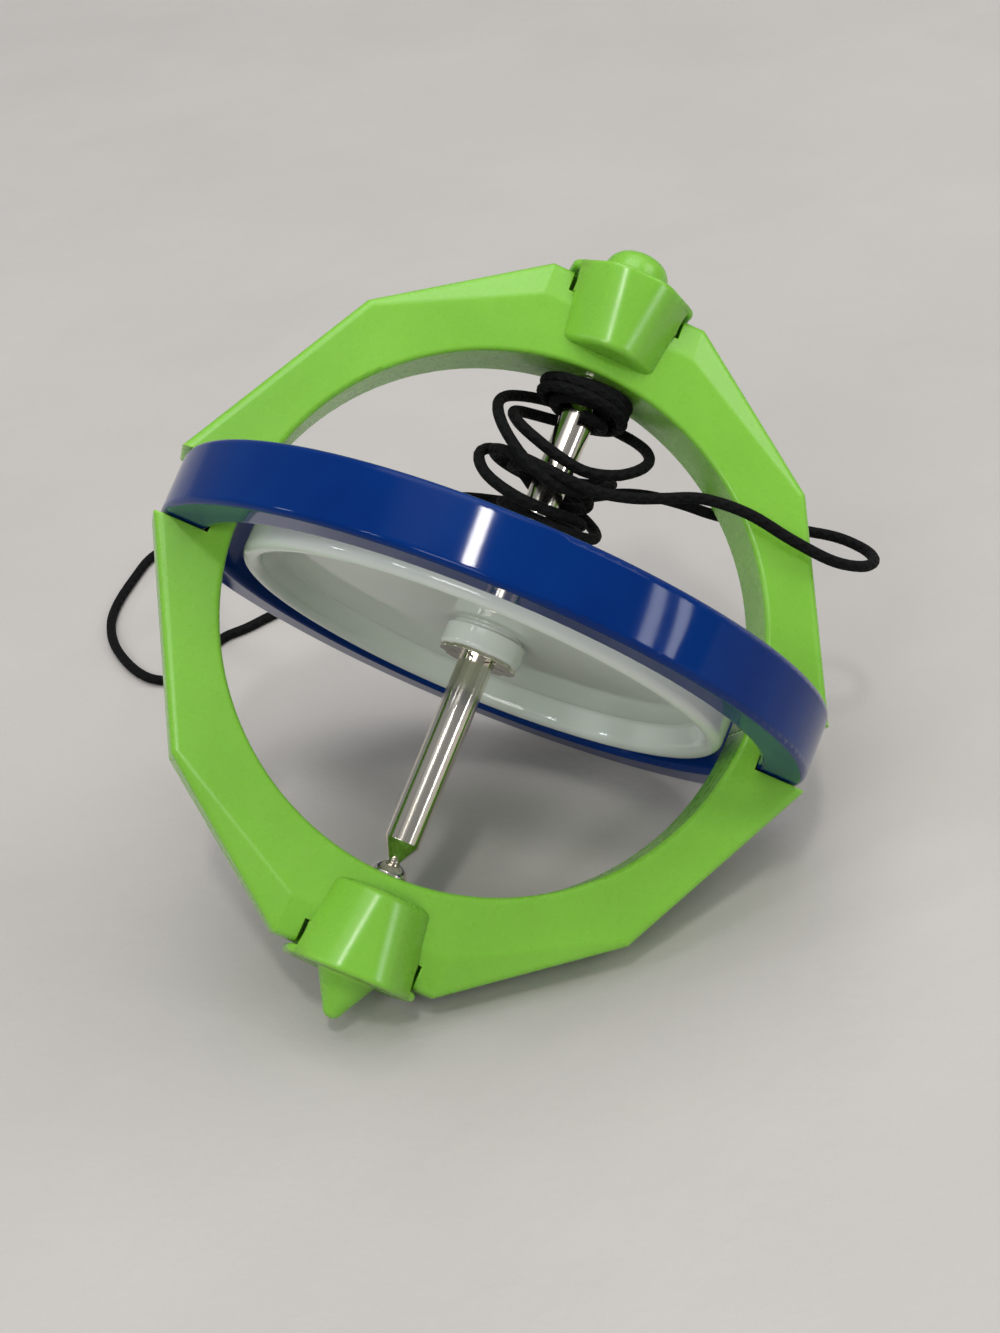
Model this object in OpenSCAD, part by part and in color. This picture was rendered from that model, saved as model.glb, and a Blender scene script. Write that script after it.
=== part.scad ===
// Toy gyroscope lying at rest on a table: a two-part plastic frame round a
// guard ring, a flywheel on a steel axle between two bearing cups, and its
// pull string tangled round the axle. Millimetres, +Z up from the table.

/* [Guard ring] */
// Outside diameter of the guard ring
ring_d = 76; // [75:0.5:78]
// Height of the guard ring along the axle
ring_h = 7.4; // [6.5:0.1:8.5]
// Wall of the guard ring, measured outward from its bore
ring_wall = 5.3; // [5:0.1:5.6]

/* [Frame] */
// Half-width of the frame's outline where it would meet the wheel's plane
side_x = 40.6; // [39.5:0.1:41]
// Distance of a frame corner from the axle
corner_x = 26.6; // [26:0.1:27.4]
// Distance of a frame corner from the wheel's plane
corner_z = 27.1; // [26.5:0.1:27.8]
// Thickness of the frame plate
frame_t = 9; // [8.4:0.1:9.6]
// Diameter of the round opening in the frame
opening_d = 60; // [59.6:0.1:60.4]
// Distance from the wheel's plane to the flat crown beside a cap
crown_z = 40.2; // [39.8:0.1:40.4]
// Half the width of that crown
crown_x = 9.3; // [8.8:0.1:10]
// Thickness left at the crown by the bevels on its front and back
crown_t = 6.4; // [6:0.1:8]
// Distance from the wheel's plane to the line where the bevels start
bevel_z = 36.6; // [35.5:0.1:37]
// Rounding of the frame's outer edges
frame_round = 0.9; // [0.4:0.1:1]
// Play between the frame and each face of the guard ring
channel_gap = 0.2; // [0.1:0.05:0.3]

/* [Caps] */
// Half-width of a cap's cheeks beside the frame, at their inner end
cheek_x_inner = 5.2; // [4.9:0.1:5.4]
// Half-width of the cheeks beside the frame, at the cap's end plate
cheek_x = 6.3; // [6:0.1:6.4]
// Half-width of the flat front of a cheek
cheek_front_x = 2; // [1.5:0.1:2.6]
// Distance of that flat front from the axle
cheek_y = 8.6; // [8.2:0.1:9]
// Rounding of the cheeks' edges
cheek_round = 0.8; // [0.5:0.1:1]
// Length of the cheeks along the axle
cheek_len = 8.5; // [8:0.1:9]
// Distance from the wheel's plane to the inside of a cap's end plate
cap_z = 40.5; // [40.3:0.1:41]
// Half-width of the end plates
plate_x = 7.4; // [7:0.1:7.8]
// Thickness of the end plates
plate_t = 1; // [0.8:0.1:1.4]
// Width of the grooves in the frame's faces beside a cap
slot_w = 0.4; // [0.3:0.05:0.6]
// Depth of those grooves
slot_depth = 1.5; // [1:0.1:2]
// Depth of the notch that takes a cap
notch_depth = 2.6; // [2:0.1:3]

/* [Knob and foot] */
// Radius of the domed knob on the top cap
knob_r = 4; // [3.6:0.1:4.4]
// Height of the knob above its end plate
knob_h = 4.5; // [4:0.1:5]
// Height of the knob's domed part
dome_h = 1.8; // [1.4:0.1:2.6]
// Radius of the foot's cone at its end plate
foot_r = 3.3; // [3:0.1:3.6]
// Radius of the foot's rounded tip
foot_tip_r = 1.2; // [0.7:0.1:1.4]
// Length of the foot beyond its end plate
foot_len = 4.7; // [4:0.1:5.2]

/* [Flywheel] */
// Outside diameter of the flywheel
wheel_d = 56.6; // [56:0.1:58]
// Height of the flywheel's rim
rim_h = 8; // [7:0.1:8.4]
// Thickness of the rim
rim_w = 2.2; // [2:0.1:3]
// Thickness of the flywheel's web
web_t = 1.8; // [1.4:0.1:2.4]
// Diameter of the flywheel's hub boss
boss_d = 9.2; // [8.8:0.1:9.6]
// Height over both hub bosses
boss_h = 7.8; // [7:0.1:8.2]

/* [Axle] */
// Diameter of the steel axle
axle_d = 4; // [3.8:0.1:4.2]
// Distance from the wheel's plane to the start of an end cone
axle_shoulder_z = 25.9; // [25:0.1:26.4]
// Diameter of the pivots
pivot_d = 1.4; // [1.2:0.1:1.6]
// Distance from the wheel's plane to the root of a pivot
pivot_root_z = 28; // [27.6:0.1:28.1]
// Diameter of the cord hole through the axle
cord_hole_d = 1.6; // [1.4:0.1:1.8]
// Height of the cord hole above the wheel's plane
cord_hole_z = 9; // [8:0.1:11]

/* [Pull string] */
// Thickness of the pull string
cord_d = 1.2; // [1.2:0.1:1.2]
// Rings of facets in one turn of the tangle
turn_rings = 24; // [16:1:24]
// Tangle on the axle, as [turn, reach from the axle, height over the wheel's
// plane]; whole turns start at the front and go round by the right
tangle = [[0, 3.05, 25.2], [1, 3.05, 26.95], [1.9, 3.2, 28.65], [2.15, 4.8, 28.7], [2.5, 4.9, 28.3],
    [3, 4.9, 27], [3.25, 4.95, 26.7], [3.5, 5, 26.2], [3.62, 6.2, 25.4], [3.75, 7, 23.4],
    [3.88, 7, 20.2], [4, 6.3, 18.5], [4.1, 7.2, 18.4], [4.2, 9, 22.2], [4.25, 9.7, 24.6],
    [4.3, 9.5, 26.6], [4.36, 8.8, 27.8], [4.5, 7.2, 28.7], [4.62, 7.4, 27.6], [4.75, 9, 22.4],
    [4.88, 8.8, 20.8], [5, 7.4, 21.1], [5.1, 6.2, 21], [5.25, 6.2, 20.4], [5.5, 5.2, 18.6],
    [5.75, 4.6, 17.6], [6, 4.8, 16.8], [6.5, 4.9, 16.4], [6.62, 6.2, 16.6], [6.75, 8.2, 15.9],
    [6.88, 7.2, 13.6], [7, 5.2, 13.4], [7.25, 5, 14.4], [7.5, 4.2, 14.6], [7.75, 4.2, 13.4],
    [8, 4.4, 11.7], [8.15, 6.2, 12], [8.25, 7.2, 13.8], [8.38, 7.2, 17], [8.5, 6.8, 19],
    [8.62, 7.3, 18.6], [8.75, 7.8, 17.9], [8.88, 7.5, 17.2], [9, 7.4, 16.6]];
// Loop round the right arm of the frame, in the gyroscope's own axes
arm_loop = [[4.4, -7.2, 16.8], [8.4, -6.4, 18], [11.5, -6.2, 19.4], [15.6, -6.2, 21.2],
    [20.9, -6.4, 21.7], [26.7, -6.3, 21], [31.8, -5.7, 20.9], [35.6, -3.6, 22.3],
    [37.4, -0.4, 24.4], [36.8, 3.2, 26.2], [34.1, 5.8, 27], [30.6, 6.4, 26.4],
    [25.5, 6.4, 25], [19.9, 6.2, 23.6], [15.5, 6.4, 23.2], [11.7, 7.2, 22.7], [8.4, 7.8, 21.6]];
// Run behind the axle and out over the guard ring, in the same axes
ring_run = [[4.8, 8.6, 19.6], [0.5, 8.5, 17], [-3.6, 7.4, 15.2], [-7.5, 6, 13.6],
    [-12.5, 6.6, 11.6], [-17.8, 8.4, 12.4], [-22.5, 10.5, 12.4], [-27.5, 12.6, 9.6],
    [-31.6, 14.6, 6.6]];
// Run down to the table and round its loop there, measured from the origin
table_run = [[-34, 24, 42.5], [-37.5, 34, 33], [-39.5, 46, 21], [-40, 58, 10.5],
    [-40, 68, 3.6], [-40, 75, 1], [-41.5, 80.5, 0.7], [-45, 82.8, 0.7], [-48.6, 80, 0.7],
    [-50.6, 74, 0.7], [-52, 67, 0.7], [-51.8, 60, 0.7], [-50, 53.6, 0.7],
    [-45.8, 50.2, 0.7], [-40.5, 52, 0.7], [-36, 55, 0.7], [-30, 58.5, 0.7],
    [-21, 62.5, 0.7], [-11, 66.5, 0.7]];

/* [Pose on the table] */
// The pose holds for the sizes above: it stands on a frame corner, the
// guard ring and the foot cap. Turn about its own sideways axis
lie_x = -45.35; // [-180:0.001:180]
// Turn about the front-to-back axis
lie_y = 28.851; // [-90:0.001:90]
// Turn about the vertical
lie_z = -12.963; // [-180:0.001:180]
// Height of the wheel's centre above the table
lie_h = 31.943; // [20:0.001:50]

/* [Hidden] */
$fn = 96;

ring_r = ring_d / 2;
ring_bore_r = ring_r - ring_wall;
ring_round = 0.7;
tongue_play = 0.05;
opening_r = opening_d / 2;
opening_round = 0.5;
wheel_r = wheel_d / 2;
// The rim's inner wall leans in to the web by this much
rim_draft = 0.8;
neck_step = 0.5;
axle_r = axle_d / 2;
pivot_r = pivot_d / 2;
pivot_len = 1.3;
pivot_play = 0.07;
cup_r = 2.1;
cup_lip_z = 28.25;
// The cup's flat base stands off the curve of the opening by this much
cup_relief = 0.1;
cup_stem_r = 1.5;
cup_stem_len = 3.5;
peg_r = 1.6;
peg_len = 2.6;
plate_round = 0.4;
cap_play = 0.02;
washer_t = 0.4;
washer_r = 4.4;
washer_teeth = 6;
far = 60;
green = [0.42, 0.74, 0.20];
blue = [0.03, 0.17, 0.58];
white = [0.90, 0.92, 0.90];
steel = [0.72, 0.70, 0.66];
black = [0.05, 0.05, 0.06];
cord_r = cord_d / 2;
// Half-width, in turns, of the average that rounds the tangle's corners
ease_turns = 0.06;
tangle_sides = 6;
run_sides = 8;
run_steps = 4;

// Lays the upright gyroscope down on the table
module laid() {
    translate([0, 0, lie_h]) rotate([lie_x, lie_y, lie_z]) children();
}

module flipped(down) {
    mirror([0, 0, down ? 1 : 0]) children();
}

// Outline of the part of the plate that has its full thickness
module full_outline() {
    polygon([
        for (s = [1, -1])
            each [[side_x * s, 0], [corner_x * s, corner_z * s],
                [crown_x * s, bevel_z * s], [-crown_x * s, bevel_z * s],
                [-corner_x * s, corner_z * s]]
    ]);
}

// Outline of the thinner plate that carries the flat crowns
module crown_outline() {
    polygon([
        for (s = [1, -1])
            each [[corner_x * s, corner_z * s], [crown_x * s, crown_z * s],
                [-crown_x * s, crown_z * s], [-corner_x * s, corner_z * s]]
    ]);
}

// One level of the rounded edge of a plate that is t thick
module edge_level(t, a) {
    rotate([90, 0, 0])
        linear_extrude(t - 2 * frame_round * (1 - sin(a)), center = true)
            offset(delta = -frame_round * (1 - cos(a)))
                children();
}

// Plate of the whole frame, with rounded edges and bevelled crowns
module frame_plate() {
    hull() {
        for (a = [0 : 22.5 : 90]) {
            edge_level(frame_t, a) full_outline();
            edge_level(crown_t, a) crown_outline();
        }
    }
}

// Round opening whose front and back edges are eased
module opening_cutter() {
    lip = frame_t / 2 - opening_round;
    rotate([90, 0, 0])
        rotate_extrude() {
            translate([0, -far / 2]) square([opening_r, far]);
            for (s = [0, 1])
                mirror([0, s])
                    difference() {
                        translate([opening_r, lip]) square([opening_round, far / 2]);
                        translate([opening_r + opening_round, lip]) circle(r = opening_round);
                    }
        }
}

// Channel that holds the guard ring; the tongue inside it stays
module ring_channel() {
    h = ring_h + 2 * channel_gap;
    difference() {
        cylinder(r = far, h = h, center = true);
        cylinder(r = ring_bore_r - tongue_play, h = h + 1, center = true);
    }
}

// Upper half of the frame; the lower half is the same, turned over
module frame_half() {
    notch_z = crown_z - notch_depth;
    notch_x = cheek_x + cap_play;
    difference() {
        intersection() {
            frame_plate();
            translate([-far, -far, 0]) cube(2 * far);
        }
        opening_cutter();
        ring_channel();
        translate([-notch_x, -far, notch_z]) cube([2 * notch_x, 2 * far, far]);
        for (s = [-1, 1])
            translate([0, s * (far + crown_t / 2 - slot_depth), notch_z])
                translate([-notch_x - slot_w, -far, 0]) cube([2 * (notch_x + slot_w), 2 * far, far]);
        cylinder(r = cup_stem_r, h = opening_r + cup_stem_len);
        translate([0, 0, notch_z - peg_len]) cylinder(r = peg_r, h = far);
    }
}

module upper_frame() {
    color(green) laid() frame_half();
}

module lower_frame() {
    color(green) laid() flipped(true) frame_half();
}

// Cheek over the front of the frame: a drafted boss with soft edges
module cheek() {
    r = cheek_round;
    z0 = cap_z - cheek_len;
    draft = cheek_x - cheek_x_inner;
    hull() {
        for (end = [[z0 + r, draft], [cap_z, 0]], s = [-1, 1]) {
            translate([s * (cheek_x - end[1] - r), -frame_t / 2, end[0]]) sphere(r = r, $fn = 16);
            translate([s * (cheek_front_x - end[1] / 2), r + end[1] / 2 - cheek_y, end[0]])
                sphere(r = r, $fn = 16);
            translate([s * (cheek_x - end[1] - r), 0, end[0] - r])
                cylinder(r = r, h = 2 * r, $fn = 16);
        }
    }
}

// Saddle with a cheek over each face of the frame and a peg into it
module cap_saddle() {
    notch_z = crown_z - notch_depth;
    difference() {
        union() {
            cheek();
            mirror([0, 1, 0]) cheek();
        }
        translate([-far, -frame_t / 2, 0]) cube([2 * far, frame_t, notch_z]);
        translate([-far, -far, cap_z]) cube(2 * far);
    }
    translate([-cheek_x, -crown_t / 2, notch_z]) cube([2 * cheek_x, crown_t, cap_z - notch_z]);
    translate([0, 0, notch_z - peg_len]) cylinder(r = peg_r, h = peg_len + 1);
    translate([0, 0, cap_z]) end_plate();
}

// Plate across both cheeks, with its outer edge rounded
module end_plate() {
    r = plate_round;
    hull()
        for (sx = [-1, 1], sy = [-1, 1])
            for (corner = [[plate_x - cheek_round, frame_t / 2], [cheek_front_x + r, cheek_y - cheek_round]])
                translate([sx * corner[0], sy * corner[1], 0]) {
                    cylinder(r = cheek_round, h = plate_t - r, $fn = 16);
                    cylinder(r = cheek_round - r, h = plate_t, $fn = 16);
                }
}

// Rectangle from [x0, y0] to [x1, y1] with corners of radius r
module rounded_rect(x0, y0, x1, y1, r) {
    translate([x0 + r, y0]) square([x1 - x0 - 2 * r, y1 - y0]);
    translate([x0, y0 + r]) square([x1 - x0, y1 - y0 - 2 * r]);
    for (x = [x0 + r, x1 - r], y = [y0 + r, y1 - r])
        translate([x, y]) circle(r = r);
}

module guard_ring() {
    color(blue) laid()
        rotate_extrude() rounded_rect(ring_bore_r, -ring_h / 2, ring_r, ring_h / 2, ring_round);
}

module top_cap() {
    side_h = knob_h - dome_h;
    dome_r = (knob_r * knob_r + dome_h * dome_h) / (2 * dome_h);
    color(green) laid() {
        cap_saddle();
        translate([0, 0, cap_z + plate_t])
            rotate_extrude() {
                square([knob_r, side_h]);
                intersection() {
                    translate([0, knob_h - dome_r]) circle(r = dome_r);
                    translate([0, side_h]) square([knob_r, dome_h + 1]);
                }
            }
    }
}

module foot_cap() {
    cone_len = foot_len - foot_tip_r;
    color(green) laid() flipped(true) {
        cap_saddle();
        translate([0, 0, cap_z + plate_t]) {
            cylinder(r1 = foot_r, r2 = foot_tip_r, h = cone_len);
            translate([0, 0, cone_len]) sphere(r = foot_tip_r);
        }
    }
}

// Polished dome pressed into the frame, with a socket for the pivot
module bearing_cup() {
    cup_base_z = opening_r - cup_relief;
    cup_h = cup_base_z - cup_lip_z;
    difference() {
        union() {
            translate([0, 0, cup_base_z]) mirror([0, 0, 1])
                rotate_extrude()
                    intersection() {
                        square([cup_r, cup_h]);
                        translate([0, -0.4]) circle(r = cup_r + 0.1);
                    }
            translate([0, 0, cup_base_z]) cylinder(r = cup_stem_r, h = cup_stem_len);
        }
        cylinder(r = pivot_r + pivot_play, h = pivot_root_z + pivot_len + 0.2);
    }
}

module upper_bearing_cup() {
    color(steel) laid() bearing_cup();
}

module lower_bearing_cup() {
    color(steel) laid() flipped(true) bearing_cup();
}

// Section of the flywheel: round-edged rim, drafted inner wall, web, stepped boss
module wheel_section() {
    crest = wheel_r - rim_w;
    crest_r = rim_w / 2;
    crest_z = rim_h / 2 - crest_r;
    wall_x = crest - rim_draft;
    boss_x = boss_d / 2;
    neck_x = boss_x - neck_step;
    web_z = web_t / 2;
    ease = 0.3;
    upper = [[axle_r, boss_h / 2], [boss_x - ease, boss_h / 2], [boss_x, boss_h / 2 - ease],
        [boss_x, web_z + neck_step], [neck_x, web_z + neck_step], [neck_x, web_z],
        [wall_x - ease, web_z], [wall_x, web_z + ease],
        for (a = [180 : -15 : 0]) [crest + crest_r * (1 + cos(a)), crest_z + crest_r * sin(a)]];
    lower = [for (i = [len(upper) - 1 : -1 : 0]) [upper[i][0], -upper[i][1]]];
    polygon(concat(upper, lower));
}

module flywheel() {
    color(white) laid() rotate_extrude() wheel_section();
}

module axle() {
    cone_h = pivot_root_z - axle_shoulder_z;
    color(steel) laid()
        difference() {
            union() {
                cylinder(r = axle_r, h = 2 * axle_shoulder_z, center = true);
                for (down = [false, true])
                    flipped(down) {
                        translate([0, 0, axle_shoulder_z])
                            cylinder(r1 = axle_r, r2 = pivot_r, h = cone_h);
                        translate([0, 0, pivot_root_z]) cylinder(r = pivot_r, h = pivot_len);
                    }
            }
            translate([0, 0, cord_hole_z]) rotate([90, 0, 0])
                cylinder(d = cord_hole_d, h = far, center = true);
        }
}

// Push-on washer: a thin disc whose slit teeth grip the axle
module retaining_washer() {
    tooth_gap = 0.5;
    tooth_len = 1.3;
    translate([0, 0, boss_h / 2])
        difference() {
            cylinder(r = washer_r, h = washer_t);
            translate([0, 0, -1]) cylinder(r = axle_r, h = washer_t + 2);
            for (i = [0 : washer_teeth - 1])
                rotate(i * 360 / washer_teeth)
                    translate([0, -tooth_gap / 2, -1])
                        cube([axle_r + tooth_len, tooth_gap, washer_t + 2]);
            for (i = [0 : washer_teeth - 1])
                rotate((i + 0.5) * 360 / washer_teeth)
                    translate([washer_r + 0.6, 0, -1]) cylinder(r = 1, h = washer_t + 2);
        }
}

module upper_retaining_washer() {
    color(steel) laid() retaining_washer();
}

module lower_retaining_washer() {
    color(steel) laid() flipped(true) retaining_washer();
}

// Value of column c of the tangle at turn u, averaged over a short stretch
function eased(u, c) =
    let (table = [for (row = tangle) [row[0], row[c]]])
    sum([for (j = [-3 : 3]) lookup(u + j * ease_turns / 3, table)]) / 7;

function sum(v) = v * [for (i = v) 1];

function unit(v) = v / norm(v);

// Place of the tangle's centreline at turn u
function tangle_at(u) =
    let (r = eased(u, 1))
    [r * sin(360 * u), -r * cos(360 * u), eased(u, 2)];

// The pose's turns as a matrix, for routes that leave the tangle for the table
function lay_down(p) =
    let (x = [1, 0, 0, 0, cos(lie_x), -sin(lie_x), 0, sin(lie_x), cos(lie_x)],
        y = [cos(lie_y), 0, sin(lie_y), 0, 1, 0, -sin(lie_y), 0, cos(lie_y)],
        z = [cos(lie_z), -sin(lie_z), 0, sin(lie_z), cos(lie_z), 0, 0, 0, 1])
    turned(z, turned(y, turned(x, p))) + [0, 0, lie_h];

function turned(m, p) =
    [for (i = [0 : 2]) m[3 * i] * p.x + m[3 * i + 1] * p.y + m[3 * i + 2] * p.z];

// Point at s, from 0 to 1, on the smooth curve from b to c that a and d lead
function between(a, b, c, d, s) =
    (2 * b + (c - a) * s + (2 * a - 5 * b + 4 * c - d) * s * s
        + (3 * b - a - 3 * c + d) * s * s * s) / 2;

// Stretch of the smooth curve through p, from its point i0 to its point i1
function curve(p, i0, i1) = [
    for (i = [i0 : i1 - 1], j = [0 : run_steps - 1])
        between(p[max(i - 1, 0)], p[i], p[i + 1], p[min(i + 2, len(p) - 1)], j / run_steps),
    p[i1]
];

// Direction of the path c at its point i
function heading(c, i) = unit(c[min(i + 1, len(c) - 1)] - c[max(i - 1, 0)]);

// Sideways direction at every point of c, carried along with no twist
function sideways(c, i = 0, last = [0.3, 0.5, 0.8]) =
    let (h = heading(c, i), s = unit(last - (last * h) * h))
    i == len(c) - 1 ? [s] : concat([s], sideways(c, i + 1, s));

// Round tube along the path c, as one solid
module tube(c, sides) {
    side = sideways(c);
    rings = [
        for (i = [0 : len(c) - 1])
            let (h = heading(c, i), v = cross(h, side[i]))
            for (k = [0 : sides - 1])
                c[i] + cord_r * (cos(360 * k / sides) * side[i] + sin(360 * k / sides) * v)
    ];
    last = (len(c) - 1) * sides;
    walls = [
        for (i = [0 : len(c) - 2], k = [0 : sides - 1])
            let (a = i * sides + k, b = i * sides + (k + 1) % sides)
            each [[a, b, b + sides], [a, b + sides, a + sides]]
    ];
    polyhedron(rings, concat(walls, [[for (k = [sides - 1 : -1 : 0]) k],
        [for (k = [0 : sides - 1]) last + k]]));
}

// Whole route of the cord: the tangle's points, then the free points
tangle_path = [
    for (i = [0 : turn_rings * tangle[len(tangle) - 1][0]]) lay_down(tangle_at(i / turn_rings))
];
free_points = concat([tangle_path[len(tangle_path) - 3], tangle_path[len(tangle_path) - 1]],
    [for (p = concat(arm_loop, ring_run)) lay_down(p)], table_run);
arm_end = len(arm_loop) + 1;

// Least gap between stretches of the tangle over half a turn apart
half_turn = turn_rings / 2;
tangle_gap = min([
    for (i = [0 : len(tangle_path) - 1 - half_turn], j = [i + half_turn : len(tangle_path) - 1])
        norm(tangle_path[i] - tangle_path[j])
]) - cord_d;
echo(least_gap_in_tangle = tangle_gap);

module string_tangle() {
    color(black) tube(tangle_path, tangle_sides);
}

module string_arm_loop() {
    color(black) tube(curve(free_points, 1, arm_end), run_sides);
}

module string_table_run() {
    color(black) tube(curve(free_points, arm_end, len(free_points) - 1), run_sides);
}

upper_frame();
lower_frame();
guard_ring();
top_cap();
foot_cap();
upper_bearing_cup();
lower_bearing_cup();
flywheel();
axle();
upper_retaining_washer();
lower_retaining_washer();
string_tangle();
string_arm_loop();
string_table_run();
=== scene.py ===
"""Toy gyroscope lying at rest on a pale table, with its pull string tangled on the axle."""
import math

import bmesh
import bpy
from mathutils import Matrix, Vector


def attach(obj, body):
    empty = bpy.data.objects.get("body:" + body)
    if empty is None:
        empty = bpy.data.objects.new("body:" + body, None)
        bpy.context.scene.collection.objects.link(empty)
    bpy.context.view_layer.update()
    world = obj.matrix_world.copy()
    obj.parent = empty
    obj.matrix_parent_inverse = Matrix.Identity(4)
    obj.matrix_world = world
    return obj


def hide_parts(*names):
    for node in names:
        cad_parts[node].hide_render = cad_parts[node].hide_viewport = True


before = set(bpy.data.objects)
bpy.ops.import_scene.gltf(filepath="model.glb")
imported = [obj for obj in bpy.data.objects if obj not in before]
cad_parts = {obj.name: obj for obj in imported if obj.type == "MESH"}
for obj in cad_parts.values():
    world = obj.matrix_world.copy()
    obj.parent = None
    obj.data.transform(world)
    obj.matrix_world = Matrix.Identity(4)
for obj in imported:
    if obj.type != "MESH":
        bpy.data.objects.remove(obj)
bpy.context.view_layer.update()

MM = 0.001

# ---------------------------------------------------------------- pose and camera
# The gyroscope's pose on the table: turns about x, y and z, and its centre's height
LIE_TURNS = (-45.35, 28.851, -12.963)
LIE_HEIGHT = 31.943

# The photograph's width and its lens in pixels, and the sensor that stands for that width
PHOTO_WIDTH_PX = 1000
LENS_PX = 2408
SENSOR_WIDTH = 36

# Where the camera stood, in millimetres, how it was turned, and the nearest that it sees
CAMERA_AT = (0.33, -224.3, 173.71)
CAMERA_PITCH = 56.71
CAMERA_ROLL = -7.49
CAMERA_NEAR = 10


def laid(p):
    """A point in the gyroscope's own axes, laid down on the table, in millimetres."""
    x, y, z = (math.radians(a) for a in LIE_TURNS)
    turn = Matrix.Rotation(z, 3, "Z") @ Matrix.Rotation(y, 3, "Y") @ Matrix.Rotation(x, 3, "X")
    return turn @ Vector(p) + Vector((0, 0, LIE_HEIGHT))


def add_object(name, data):
    """A new object in the scene that shows the data."""
    made = bpy.data.objects.new(name, data)
    bpy.context.scene.collection.objects.link(made)
    return made


def add_camera():
    data = bpy.data.cameras.new("photo_camera")
    data.sensor_fit = "HORIZONTAL"
    data.sensor_width = SENSOR_WIDTH
    data.lens = LENS_PX / PHOTO_WIDTH_PX * SENSOR_WIDTH
    data.clip_start = CAMERA_NEAR * MM
    camera = add_object("photo_camera", data)
    tilt = Matrix.Rotation(math.radians(CAMERA_PITCH), 4, "X")
    roll = Matrix.Rotation(math.radians(CAMERA_ROLL), 4, "Z")
    camera.matrix_world = Matrix.Translation(Vector(CAMERA_AT) * MM) @ tilt @ roll
    bpy.context.scene.camera = camera


# ---------------------------------------------------------------- pull string
# Thickness in millimetres, and how finely the tube is rounded
CORD_D = 1.3
CORD_ROUND_STEPS = 4
# Distance between the points that carry the cord
CORD_STEP = 0.7

# Braid: length of a strand's turn along the cord, and the strands each way round it
BRAID_PITCH = 1.6
BRAID_STRANDS = 3.0

# Points to a turn of the tangle, and how much of a turn and how many points ease it either way
TURN_STEPS = 48
EASE_TURNS = 0.06
EASE_POINTS = 3

# Points from one given place to the next on the smooth runs
RUN_STEPS = 10
# A distance too short to hold another point
NO_DISTANCE = 1e-6

# Tangle on the axle: turn, reach from the axle, height over the wheel's plane
TANGLE = [
    (0, 3.05, 25.2), (1, 3.05, 26.95), (1.9, 3.2, 28.65), (2.15, 4.8, 28.7), (2.5, 5, 28.6),
    (2.75, 4.95, 28.3), (3, 4.9, 28), (3.25, 4.8, 27.6), (3.5, 4.9, 27.3), (4, 4.9, 27),
    (4.25, 4.95, 26.7), (4.5, 5, 26.2), (4.62, 6.2, 25.4), (4.75, 7, 23.4), (4.88, 7, 20.2),
    (5, 6.3, 18.5), (5.1, 7.2, 18.4), (5.2, 9, 22.2), (5.25, 9.7, 24.6), (5.3, 9.5, 26.6),
    (5.36, 8.8, 27.8), (5.5, 7.2, 28.7), (5.62, 7.4, 27.6), (5.75, 9, 24.2), (5.82, 9.2, 20.8),
    (5.88, 8.8, 17.9), (5.95, 7.5, 15.5), (6.05, 6.4, 15.7), (6.15, 6.3, 18), (6.25, 6.5, 20.8),
    (6.5, 5.2, 19.4), (6.75, 4.6, 17.6), (7, 4.8, 17), (7.5, 4.9, 16.4), (7.62, 7.2, 20.4),
    (7.7, 8.4, 19.4), (7.78, 8.9, 16), (7.88, 7.8, 12.8), (8, 5.2, 13), (8.25, 5, 14.4),
    (8.5, 4.2, 14.6), (8.75, 4.2, 13.4), (9, 4.4, 11.7), (9.15, 6.2, 12), (9.25, 7.2, 13.8),
    (9.38, 7.2, 17), (9.5, 6.8, 19), (9.62, 7.1, 18.8), (9.75, 7.3, 18.5), (9.88, 7.4, 17.4),
    (10, 7.4, 16.6),
]
# Loop round the right arm of the frame, in the gyroscope's own axes
ARM_LOOP = [
    (4.4, -7.2, 16.8), (8.4, -6.4, 18), (11.5, -6.2, 19.4), (15.6, -6.2, 21.2),
    (20.9, -6.4, 21.7), (26.7, -6.3, 21), (31.8, -5.7, 20.9), (35.6, -3.6, 22.3),
    (37.4, -0.4, 24.4), (36.8, 3.2, 26.2), (34.1, 5.8, 27), (30.6, 6.4, 26.4),
    (25.5, 6.4, 25), (19.9, 6.2, 23.6), (15.5, 6.4, 23.2), (11.7, 7.2, 22.7), (8.4, 7.8, 21.6),
]
# Run behind the axle and out over the guard ring, in the same axes
RING_RUN = [
    (4.8, 8.6, 19.6), (0.5, 8.5, 17), (-3.6, 7.4, 15.2), (-7.5, 6, 13.6), (-12.5, 6.6, 11.6),
    (-17.8, 8.4, 12.4), (-22.5, 10.5, 12.4), (-27.5, 12.6, 9.6), (-31.6, 14.6, 6.6),
]
# Run down to the table and round its loop there, measured from the origin
TABLE_RUN = [
    (-32.5, 26, 41.5), (-35.5, 36, 32), (-37.5, 47, 21), (-38.8, 58, 10.5), (-39.4, 68, 3.6),
    (-40, 75, 1), (-41.5, 80.2, 0.7), (-44.6, 82.2, 0.7), (-47.8, 79.6, 0.7), (-50, 74.2, 0.7),
    (-51.9, 68, 0.7), (-52.5, 62.5, 0.7), (-51.5, 56.6, 0.7), (-48.8, 50.6, 0.7),
    (-45.9, 47.2, 0.7), (-42.8, 46.4, 0.7), (-40.2, 48.6, 0.7), (-38.4, 52.6, 0.7),
    (-36.4, 55.4, 0.7), (-33.4, 57, 0.7), (-30, 59.4, 0.7), (-25.9, 61.9, 0.7),
    (-19, 64.4, 0.7), (-11, 66.5, 0.7),
]


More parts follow.
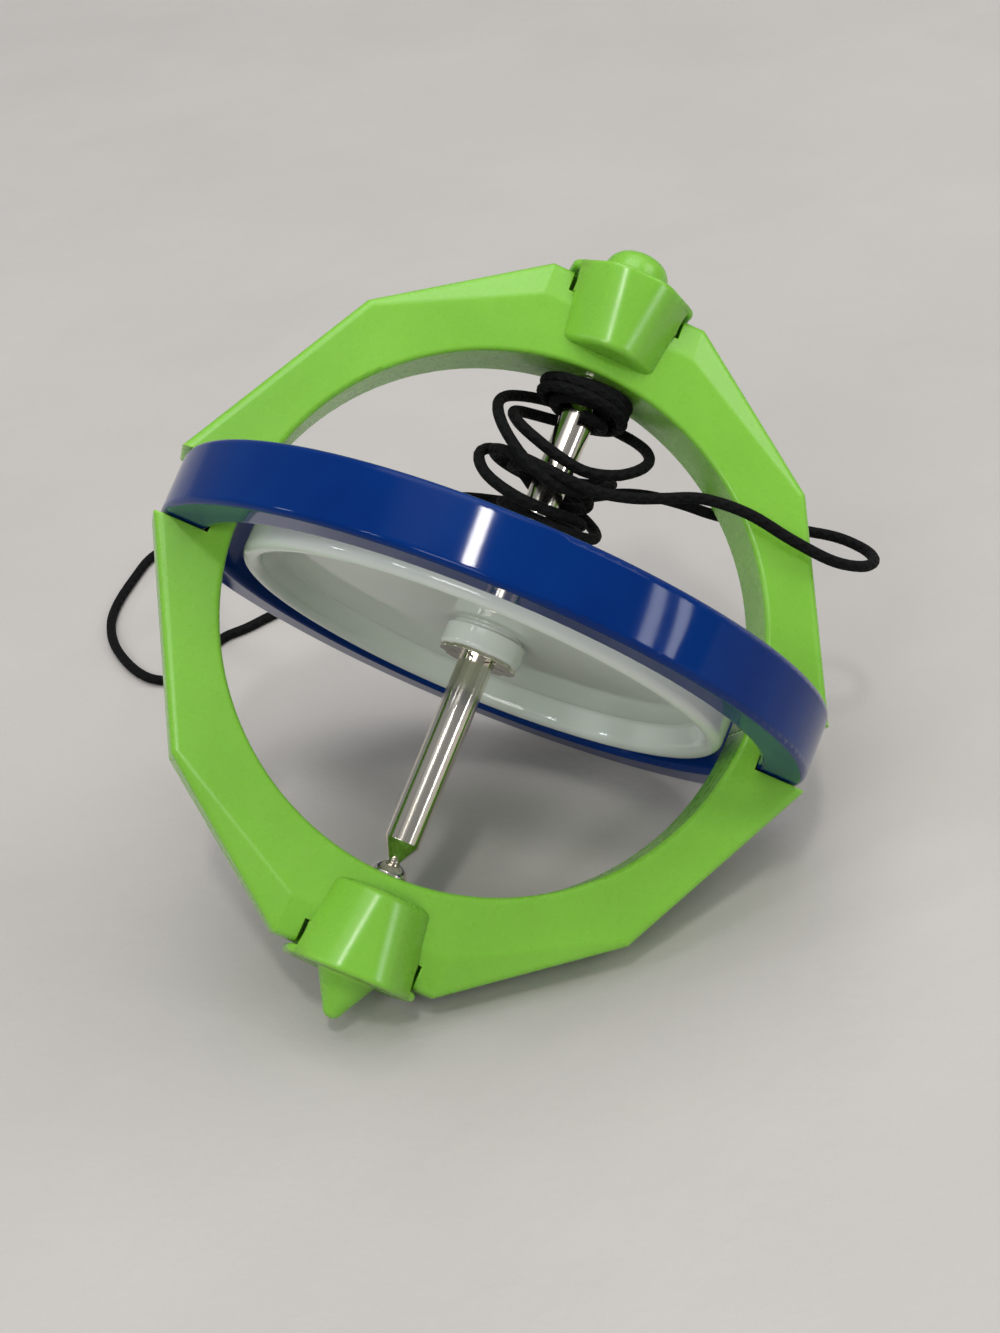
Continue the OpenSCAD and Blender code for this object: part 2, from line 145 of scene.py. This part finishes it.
def lookup(u, column):
    """The tangle's reach (1) or height (2) at turn u, on straight lines between its rows."""
    if u <= TANGLE[0][0]:
        return TANGLE[0][column]
    for a, b in zip(TANGLE, TANGLE[1:]):
        if u <= b[0]:
            return a[column] + (b[column] - a[column]) * (u - a[0]) / (b[0] - a[0])
    return TANGLE[-1][column]


def tangle_at(u):
    """The tangle's place at turn u, eased by the mean of the turns just before and after."""
    around = [u + j * EASE_TURNS / EASE_POINTS for j in range(-EASE_POINTS, EASE_POINTS + 1)]
    reach, height = (sum(lookup(v, c) for v in around) / len(around) for c in (1, 2))
    angle = math.tau * u
    return laid((reach * math.sin(angle), -reach * math.cos(angle), height))


def smooth_run(points):
    """Points on the smooth curve through the given ones, from the second on."""
    out = []
    for i in range(1, len(points) - 1):
        a, b, c = points[i - 1], points[i], points[i + 1]
        d = points[min(i + 2, len(points) - 1)]
        for j in range(RUN_STEPS):
            s = j / RUN_STEPS
            out.append(
                (2 * b + (c - a) * s + (2 * a - 5 * b + 4 * c - d) * s**2
                 + (3 * b - a - 3 * c + d) * s**3) / 2
            )
    return out + [points[-1]]


def path_length(path):
    return sum((b - a).length for a, b in zip(path, path[1:]))


def evenly(path):
    """Points about CORD_STEP apart along the path, its ends included."""
    length = path_length(path)
    step = length / round(length / CORD_STEP)
    out, left = [path[0]], step
    for a, b in zip(path, path[1:]):
        span = (b - a).length
        while left < span - NO_DISTANCE:
            out.append(a + (b - a) * left / span)
            left += step
        left -= span
    return out + [path[-1]]


def cord_route():
    """The cord's middle line in metres, from its end on the axle to its end on the table."""
    turns = TANGLE[-1][0]
    tangle = [tangle_at(i / TURN_STEPS) for i in range(turns * TURN_STEPS + 1)]
    free = [laid(p) for p in ARM_LOOP + RING_RUN] + [Vector(p) for p in TABLE_RUN]
    path = tangle[:-1] + smooth_run([tangle[-3], tangle[-1]] + free)
    return [p * MM for p in evenly(path)]


def add_cord():
    route = cord_route()
    length = path_length(route)
    data = bpy.data.curves.new("pull_string", "CURVE")
    data.dimensions = "3D"
    data.bevel_depth = CORD_D / 2 * MM
    data.bevel_resolution = CORD_ROUND_STEPS
    data.use_fill_caps = True
    spline = data.splines.new("POLY")
    spline.points.add(len(route) - 1)
    for point, place in zip(spline.points, route):
        point.co = (*place, 1)
    cord = add_object("pull_string", data)
    data.materials.append(braided_cotton("braided_cotton", length))
    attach(cord, "frame")
    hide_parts("string_tangle", "string_arm_loop", "string_table_run")


# ---------------------------------------------------------------- caps
# Sizes in millimetres in the gyroscope's own axes, with z along the axle
FRAME_T = 9
NOTCH_Z = 37.6
CAP_TOP_Z = 41.5

# Block in the frame's notch: half its width, and the roundings of its sides and ends
BLOCK_X = 6.25
BLOCK_ROUND = 0.3
BLOCK_END_ROUND = 0.2

# Cheeks: where they start, and how deep their backs lie in the frame
CHEEK_Z = 32
CHEEK_SINK = 2.5
# Half the width over the sides, half the flat front's width and the front's reach, each where
# the cheek starts and at its plate end
CHEEK_SIDE_X = (5.3, 6.6)
CHEEK_FRONT_X = (1.7, 3)
CHEEK_FRONT_Y = (7.9, 8.6)
# Roundings of the front's two corners, of the starting end and of the plate end
CHEEK_ROUND = 1.55
CHEEK_END_ROUND = 0.7
CHEEK_TOP_ROUND = 0.5

# End plate: a quarter of its outline, its roundings, and how far under the cheeks' ends it stays
PLATE_T = 1
PLATE_CORNERS = ((7.35, 3.6), (5.6, 5.4))
PLATE_ROUND = 0.8
PLATE_END_ROUND = 0.4
PLATE_GAP = 0.04
# Halfway through the plate, where the block ends and the knob and the foot begin
SEAT_Z = CAP_TOP_Z - PLATE_T / 2

# Knob: a dome, fuller than a ball by the power of its curve
KNOB_R = 4
KNOB_H = 4.5
KNOB_POWER = 3.1
KNOB_STEPS = 16

# Foot: a cone with a round tip
FOOT_R = 3.3
FOOT_LEN = 4.7
FOOT_TIP_R = 1.2
FOOT_TIP_STEPS = 6

# Sides of a turned solid, cuts of a rounding, and how near to a height counts as level with it
LATHE_SIDES = 48
ROUND_STEPS = 5
LEVEL_WITHIN = 1e-4


def add_shell(cap, build):
    """Adds one closed shell, made by build, to the cap."""
    part = bmesh.new()
    build(part)
    mesh = bpy.data.meshes.new("shell")
    part.to_mesh(mesh)
    part.free()
    cap.from_mesh(mesh)
    bpy.data.meshes.remove(mesh)


def neighbours(ring):
    """Each corner of a ring with the next one round it."""
    return zip(ring, ring[1:] + ring[:1])


def rounded_prism(rings, sides, ends):
    """Builder of a solid between two rings of corners, rounded by corner and at its two ends."""

    def build(part):
        first, last = ([part.verts.new(p) for p in ring] for ring in rings)
        part.faces.new(first[::-1])
        part.faces.new(last)
        upright = []
        for (a, b), (c, d) in zip(neighbours(first), neighbours(last)):
            part.faces.new((a, b, d, c))
            upright.append(part.edges.get((a, c)))
        bmesh.ops.recalc_face_normals(part, faces=part.faces)
        for rounding in sorted(set(sides) - {0}):
            round_off(part, [e for e, r in zip(upright, sides) if r == rounding], rounding)
        for ring, rounding in zip(rings, ends):
            round_off(part, level_edges(part, ring[0][2]), rounding)

    return build


def level_edges(part, z):
    return [e for e in part.edges if all(abs(v.co.z - z) < LEVEL_WITHIN for v in e.verts)]


def round_off(part, edges, rounding):
    bmesh.ops.bevel(
        part, geom=edges, offset=rounding, segments=ROUND_STEPS, profile=0.5,
        affect="EDGES", clamp_overlap=True,
    )


def turned(profile):
    """Builder of a solid turned about the axle from (radius, height) rows, closed at its tip."""
    angles = [math.tau * k / LATHE_SIDES for k in range(LATHE_SIDES)]

    def build(part):
        rings = [
            [part.verts.new((radius * math.cos(a), radius * math.sin(a), height)) for a in angles]
            for radius, height in profile[:-1]
        ]
        tip = part.verts.new((0, 0, profile[-1][1]))
        for near, far in zip(rings, rings[1:]):
            for (a, b), (c, d) in zip(neighbours(near), neighbours(far)):
                part.faces.new((a, b, d, c))
        for a, b in neighbours(rings[-1]):
            part.faces.new((a, b, tip))
        part.faces.new(rings[0][::-1])

    return build


def with_mirror(corners):
    """The corners, then their mirror images in x, so that they still go one way round."""
    return corners + tuple((-x, y) for x, y in corners[::-1])


def cheek_ring(end, side):
    """Corners of a cheek's section at its start (0) or plate end (1), on one side of the frame."""
    wide, flat, front = CHEEK_SIDE_X[end], CHEEK_FRONT_X[end], CHEEK_FRONT_Y[end]
    half = ((wide, FRAME_T / 2 - CHEEK_SINK), (wide, FRAME_T / 2), (flat, front))
    z = (CHEEK_Z, CAP_TOP_Z)[end]
    return [(x, side * y, z) for x, y in with_mirror(half)]


def plate_ring(z):
    half = with_mirror(PLATE_CORNERS)
    return [(x, y, z) for x, y in half + tuple((-x, -y) for x, y in half)]


def block_ring(z):
    x, y = BLOCK_X, FRAME_T / 2
    return [(x, y, z), (-x, y, z), (-x, -y, z), (x, -y, z)]


def knob_profile():
    rows = []
    for i in range(KNOB_STEPS + 1):
        a = math.pi / 2 * i / KNOB_STEPS
        across, up = (v ** (2 / KNOB_POWER) for v in (math.cos(a), math.sin(a)))
        rows.append((KNOB_R * across, SEAT_Z + (KNOB_H + PLATE_T / 2) * up))
    return rows


def foot_profile():
    rows = [(FOOT_R, SEAT_Z), (FOOT_R, CAP_TOP_Z)]
    centre = CAP_TOP_Z + FOOT_LEN - FOOT_TIP_R
    for i in range(1, FOOT_TIP_STEPS + 1):
        a = math.pi / 2 * i / FOOT_TIP_STEPS
        rows.append((FOOT_TIP_R * math.cos(a), centre + FOOT_TIP_R * math.sin(a)))
    return rows


def add_cap(name, profile, end):
    """A saddle cap with soft cheeks, on the frame's upper (1) or lower (-1) end."""
    cap = bmesh.new()
    for side in (-1, 1):
        cheek = [cheek_ring(e, side) for e in (0, 1)]
        corners = (0, 0, CHEEK_ROUND, CHEEK_ROUND, 0, 0)
        add_shell(cap, rounded_prism(cheek, corners, (CHEEK_END_ROUND, CHEEK_TOP_ROUND)))
    block = [block_ring(z) for z in (NOTCH_Z, SEAT_Z)]
    add_shell(cap, rounded_prism(block, (BLOCK_ROUND,) * 4, (BLOCK_END_ROUND,) * 2))
    plate = [plate_ring(z) for z in (CAP_TOP_Z - PLATE_T, CAP_TOP_Z - PLATE_GAP)]
    add_shell(cap, rounded_prism(plate, (PLATE_ROUND,) * 8, (PLATE_END_ROUND,) * 2))
    add_shell(cap, turned(profile))
    for vert in cap.verts:
        x, y, z = vert.co
        vert.co = laid((x, end * y, end * z)) * MM
    for face in cap.faces:
        face.smooth = True
    mesh = bpy.data.meshes.new(f"soft_{name}")
    cap.to_mesh(mesh)
    cap.free()
    piece = add_object(f"soft_{name}", mesh)
    piece.modifiers.new("even_faces", "WEIGHTED_NORMAL")
    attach(piece, "frame")
    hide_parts(name)
    return piece


# ---------------------------------------------------------------- materials
# Colours from dark to light, and the paler green painted along the green plastic's edges as a
# highlight
GREEN = ((0.165, 0.42, 0.030), (0.19, 0.47, 0.038))
GREEN_PAINTED_EDGE_HIGHLIGHT = (0.26, 0.60, 0.06)
BLUE = ((0.0, 0.017, 0.120), (0.0, 0.025, 0.150))
WHITE = ((0.60, 0.65, 0.60), (0.66, 0.70, 0.65))
# Dark and light of the steel: partly real drawn lines, partly painted reflection streaks
STEEL_LINES_AND_PAINTED_STREAKS = ((0.56, 0.52, 0.44), (0.78, 0.73, 0.64))
COTTON = ((0.001, 0.001, 0.0012), (0.006, 0.006, 0.0065))
PAPER = ((0.42, 0.398, 0.377), (0.455, 0.432, 0.41))

# Radius that edges show in the light, and reach of the painted edge highlight, in millimetres
PLASTIC_EDGE = 0.35
STEEL_EDGE = 0.08
PAINTED_HIGHLIGHT_REACH = 0.6
EDGE_SAMPLES = 8
# Cosine of the edge's turn from its face, where the painted edge highlight starts and where it is
# full
PAINTED_HIGHLIGHT_STARTS = 0.995
PAINTED_HIGHLIGHT_FULL = 0.80

# Scale of each noise, in cells to a metre
CLOUDS = 70
SCUFFS = 500
# Drawn lines on the steel, whose dark and light colours also stand for painted reflection streaks
DRAWN_LINES_AND_REFLECTION_STREAKS = 2600
FUZZ = 5200
MOTTLE = 14
CREASES = 22
GRAIN = 700
# Cells along the steel rod as a share of those across it, and the grain's share in the paper
ALONG_ROD = 0.008
GRAIN_SHARE = 0.12

# Depth of each relief, in millimetres
SINK_DEPTH = 0.6
LINE_DEPTH = 0.05
STRAND_DEPTH = 0.12
CREASE_DEPTH = 1.2

# Roughness of scuffed plastic, as shares of the plastic's own, and of the steel
SCUFFED = (0.8, 1.25)
STEEL_ROUGH = (0.08, 0.2)

# How far each colour goes inside the green plastic, and the scale of that in millimetres
GLOW_REACH = (1.0, 1.6, 0.3)
GLOW_SCALE = 2.5


def new_material(name):
    material = bpy.data.materials.new(name)
    material.use_nodes = True
    tree = material.node_tree
    return material, tree, tree.nodes["Principled BSDF"]


def feed(tree, made, inputs):
    """Links a node's inputs to the sockets given for them, or sets them to the given values."""
    for key, value in inputs.items():
        if isinstance(value, bpy.types.NodeSocket):
            tree.links.new(value, made.inputs[key])
        else:
            made.inputs[key].default_value = value


def node(tree, kind, inputs=None, **settings):
    made = tree.nodes.new(kind)
    for key, value in settings.items():
        setattr(made, key, value)
    feed(tree, made, inputs or {})
    return made


def noise(tree, scale, detail=3.0, roughness=0.5, distortion=0.0, where=None):
    """Noise over the object's own place, or over another one."""
    if where is None:
        where = node(tree, "ShaderNodeTexCoord").outputs["Object"]
    made = node(tree, "ShaderNodeTexNoise", {
        "Vector": where, "Scale": scale, "Detail": detail,
        "Roughness": roughness, "Distortion": distortion,
    })
    return made.outputs["Fac"]


def ramp(tree, value, *stops):
    """Colour ramp of (place, colour) stops over a value."""
    made = node(tree, "ShaderNodeValToRGB", {"Fac": value})
    elements = made.color_ramp.elements
    while len(elements) < len(stops):
        elements.new(0.5)
    for element, (place, colour) in zip(elements, stops):
        element.position = place
        element.color = (*colour, 1)
    return made.outputs["Color"]


def spread(tree, value, low, high, start=0.0, end=1.0):
    """The value, spread from low to high while it goes from start to end."""
    made = node(tree, "ShaderNodeMapRange", {
        "Value": value, "From Min": start, "From Max": end, "To Min": low, "To Max": high,
    })
    return made.outputs["Result"]


def combined(tree, operation, *values):
    made = node(tree, "ShaderNodeMath", dict(enumerate(values)), operation=operation)
    return made.outputs["Value"]


def rounded_normal(tree, radius):
    """The normal that edges of this radius in millimetres would have."""
    made = node(tree, "ShaderNodeBevel", {"Radius": radius * MM}, samples=EDGE_SAMPLES)
    return made.outputs["Normal"]


def bump(tree, height, strength, depth, edge=None):
    """The normal of a relief, on edges of a radius where one is given, in millimetres."""
    inputs = {"Height": height, "Strength": strength, "Distance": depth * MM}
    if edge:
        inputs["Normal"] = rounded_normal(tree, edge)
    return node(tree, "ShaderNodeBump", inputs).outputs["Normal"]


def painted_edge_highlight_mask(tree, radius):
    """1 along the edges of a piece, 0 on its faces; it places the painted edge highlight."""
    flat = node(tree, "ShaderNodeNewGeometry").outputs["Normal"]
    cosine = node(
        tree, "ShaderNodeVectorMath", {0: rounded_normal(tree, radius), 1: flat},
        operation="DOT_PRODUCT",
    )
    return spread(tree, cosine.outputs["Value"], 0.0, 1.0, start=PAINTED_HIGHLIGHT_STARTS, end=PAINTED_HIGHLIGHT_FULL)


def plastic(name, colours, rough, shine=0.5, edge=None, glow=0.0, wave_mm=16, wave=0.2):
    """Moulded plastic: faint flow clouds, tiny sink waves and fine scuffs, with a painted
    highlight of paler colour along the edges where an edge colour is given.
    """
    material, tree, shader = new_material(name)
    dark, light = colours
    colour = ramp(tree, noise(tree, CLOUDS), (0.3, dark), (0.7, light))
    # Painted highlight: a paler colour mixed in along the edges
    if edge:
        mixed = node(
            tree, "ShaderNodeMix",
            {"Factor": painted_edge_highlight_mask(tree, PAINTED_HIGHLIGHT_REACH), "A": colour, "B": (*edge, 1)},
            data_type="RGBA",
        )
        colour = mixed.outputs["Result"]
    scuffs = noise(tree, SCUFFS, detail=4, roughness=0.6)
    waves = noise(tree, 1 / (wave_mm * MM), detail=1)
    feed(tree, shader, {
        "Base Color": colour,
        "Roughness": spread(tree, scuffs, *(rough * share for share in SCUFFED)),
        "Normal": bump(tree, waves, wave, SINK_DEPTH, PLASTIC_EDGE),
        "IOR": 1.5,
        "Specular IOR Level": shine,
    })
    if glow:
        feed(tree, shader, {
            "Subsurface Weight": glow,
            "Subsurface Radius": GLOW_REACH,
            "Subsurface Scale": GLOW_SCALE * MM,
        })
    return material


def polished_steel(name):
    """Drawn steel rod: bright, with fine lines along its length, coloured darker and lighter
    partly as real drawn lines and partly as painted reflection streaks.
    """
    material, tree, shader = new_material(name)
    where = node(tree, "ShaderNodeTexCoord")
    upright = node(
        tree, "ShaderNodeMapping",
        {"Vector": where.outputs["Object"], "Rotation": [math.radians(a) for a in LIE_TURNS]},
        vector_type="TEXTURE",
    )
    drawn = node(tree, "ShaderNodeMapping", {
        "Vector": upright.outputs["Vector"], "Scale": (1, 1, ALONG_ROD),
    })
    # Lines along the rod: real drawn lines, and in colour also painted reflection streaks
    drawn_lines_and_reflection_streaks = noise(tree, DRAWN_LINES_AND_REFLECTION_STREAKS, detail=2, where=drawn.outputs["Vector"])
    dark, light = STEEL_LINES_AND_PAINTED_STREAKS
    feed(tree, shader, {
        "Base Color": ramp(tree, drawn_lines_and_reflection_streaks, (0.35, dark), (0.65, light)),
        "Roughness": spread(tree, drawn_lines_and_reflection_streaks, *STEEL_ROUGH),
        "Normal": bump(tree, drawn_lines_and_reflection_streaks, 0.06, LINE_DEPTH, STEEL_EDGE),
        "Metallic": 1.0,
    })
    return material


def braided_cotton(name, length):
    """Black cotton cord: strands that cross along its length, with a dusty bloom."""
    material, tree, shader = new_material(name)
    where = node(tree, "ShaderNodeTexCoord")
    split = node(tree, "ShaderNodeSeparateXYZ", {"Vector": where.outputs["UV"]})
    pitches = float(round(length / (BRAID_PITCH * MM)))
    along = combined(tree, "MULTIPLY", split.outputs["X"], math.tau * pitches)
    around = combined(tree, "MULTIPLY", split.outputs["Y"], math.tau * BRAID_STRANDS)
    one, other = (
        combined(tree, "SINE", combined(tree, way, along, around)) for way in ("ADD", "SUBTRACT")
    )
    strands = combined(tree, "MAXIMUM", one, other)
    fuzz = noise(tree, FUZZ, detail=4, roughness=0.7)
    dark, light = COTTON
    feed(tree, shader, {
        "Base Color": ramp(tree, fuzz, (0.35, dark), (0.75, light)),
        "Normal": bump(tree, strands, 0.8, STRAND_DEPTH),
        "Roughness": 0.8,
        "Specular IOR Level": 0.12,
    })
    return material


def paper(name):
    """Pale paper on the table: a faint mottle, soft creases and a fine grain."""
    material, tree, shader = new_material(name)
    mottle = noise(tree, MOTTLE, detail=6, roughness=0.6)
    creases = noise(tree, CREASES, distortion=1.2)
    grain = combined(tree, "MULTIPLY", noise(tree, GRAIN, detail=4, roughness=0.6), GRAIN_SHARE)
    relief = combined(tree, "ADD", creases, grain)
    dark, light = PAPER
    feed(tree, shader, {
        "Base Color": ramp(tree, mottle, (0.3, dark), (0.7, light)),
        "Normal": bump(tree, relief, 0.55, CREASE_DEPTH),
        "Roughness": 0.75,
        "Specular IOR Level": 0.2,
    })
    return material


NODE_MATERIALS = {
    "green_plastic": ("upper_frame", "lower_frame"),
    "blue_plastic": ("guard_ring",),
    "white_plastic": ("flywheel",),
    "bright_steel": (
        "upper_bearing_cup", "lower_bearing_cup", "axle",
        "upper_retaining_washer", "lower_retaining_washer",
    ),
}


def dress_parts(caps):
    """Gives the CAD pieces and the caps their materials."""
    made = {
        "green_plastic": plastic("green_plastic", GREEN, rough=0.27, edge=GREEN_PAINTED_EDGE_HIGHLIGHT, glow=0.25),
        "blue_plastic": plastic("blue_plastic", BLUE, rough=0.07, shine=0.13, wave_mm=22),
        "white_plastic": plastic("white_plastic", WHITE, rough=0.06, wave=0.06),
        "bright_steel": polished_steel("bright_steel"),
    }
    for name, nodes in NODE_MATERIALS.items():
        for part in nodes:
            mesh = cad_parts[part].data
            mesh.materials.clear()
            mesh.materials.append(made[name])
    for cap in caps:
        cap.data.materials.append(made["green_plastic"])


# ---------------------------------------------------------------- stage and light
# Half the table top's side, and the height that the lights aim at, in metres
FLOOR_HALF = 1.6
AIM_HEIGHT = 0.03

# The lights' turn from x towards y and their rise, in degrees, their distance and size in
# metres, their watts and their colour
SOFT = (1.0, 0.99, 0.97)
COOL = (0.92, 0.96, 1.0)
LIGHTS = {
    "ceiling": (60, 66, 1.3, (1.0, 1.0), 3.6, SOFT),
    "side": (0, 40, 1.2, (0.6, 0.5), 3, SOFT),
    "front": (-114, 36, 1.3, (0.5, 0.35), 4.6, SOFT),
    "lamp": (-91, 60, 1.2, (0.07, 0.12), 3, SOFT),
    "pane_0": (-36, 14, 1.2, (0.06, 0.3), 0.9, COOL),
    "pane_1": (-30, 14, 1.2, (0.06, 0.3), 0.9, COOL),
    "far_0": (-147, 40, 1.2, (0.12, 0.16), 1, COOL),
    "far_1": (177, 29, 1.2, (0.12, 0.16), 1, COOL),
}

# The room's own light, by how high it comes from: 0 is level with the table and 1 is overhead
ROOM_LIGHT = (
    (0.0, (0.10, 0.104, 0.108)), (0.88, (0.13, 0.133, 0.138)), (0.95, (0.97, 0.98, 1.0)),
)
ROOM_STRENGTH = 2.5


def add_floor():
    mesh = bpy.data.meshes.new("table_top")
    corners = [
        (x * FLOOR_HALF, y * FLOOR_HALF, 0) for x, y in ((-1, -1), (1, -1), (1, 1), (-1, 1))
    ]
    mesh.from_pydata(corners, [], [(0, 1, 2, 3)])
    floor = add_object("table_top", mesh)
    mesh.materials.append(paper("table_paper"))


def light_place(turn, rise, distance):
    """The place at a turn, a rise and a distance from the point that the lights aim at."""
    turn, rise = math.radians(turn), math.radians(rise)
    flat = distance * math.cos(rise)
    up = AIM_HEIGHT + distance * math.sin(rise)
    return Vector((flat * math.cos(turn), flat * math.sin(turn), up))


def add_lights():
    aim = Vector((0, 0, AIM_HEIGHT))
    for name, (turn, rise, distance, size, watts, colour) in LIGHTS.items():
        data = bpy.data.lights.new(name, "AREA")
        data.shape = "RECTANGLE"
        data.size, data.size_y = size
        data.energy = watts
        data.color = colour
        light = add_object(name, data)
        light.location = light_place(turn, rise, distance)
        light.rotation_euler = (aim - light.location).to_track_quat("-Z", "Y").to_euler()


def add_room():
    """Soft light that falls mostly from overhead."""
    world = bpy.data.worlds.new("room")
    world.use_nodes = True
    tree = world.node_tree
    where = node(tree, "ShaderNodeTexCoord")
    split = node(tree, "ShaderNodeSeparateXYZ", {"Vector": where.outputs["Generated"]})
    feed(tree, tree.nodes["Background"], {
        "Color": ramp(tree, split.outputs["Z"], *ROOM_LIGHT),
        "Strength": ROOM_STRENGTH,
    })
    bpy.context.scene.world = world


add_camera()
add_cord()
dress_parts([
    add_cap("top_cap", knob_profile(), 1),
    add_cap("foot_cap", foot_profile(), -1),
])
add_floor()
add_lights()
add_room()
bpy.context.scene.view_settings.view_transform = "Standard"
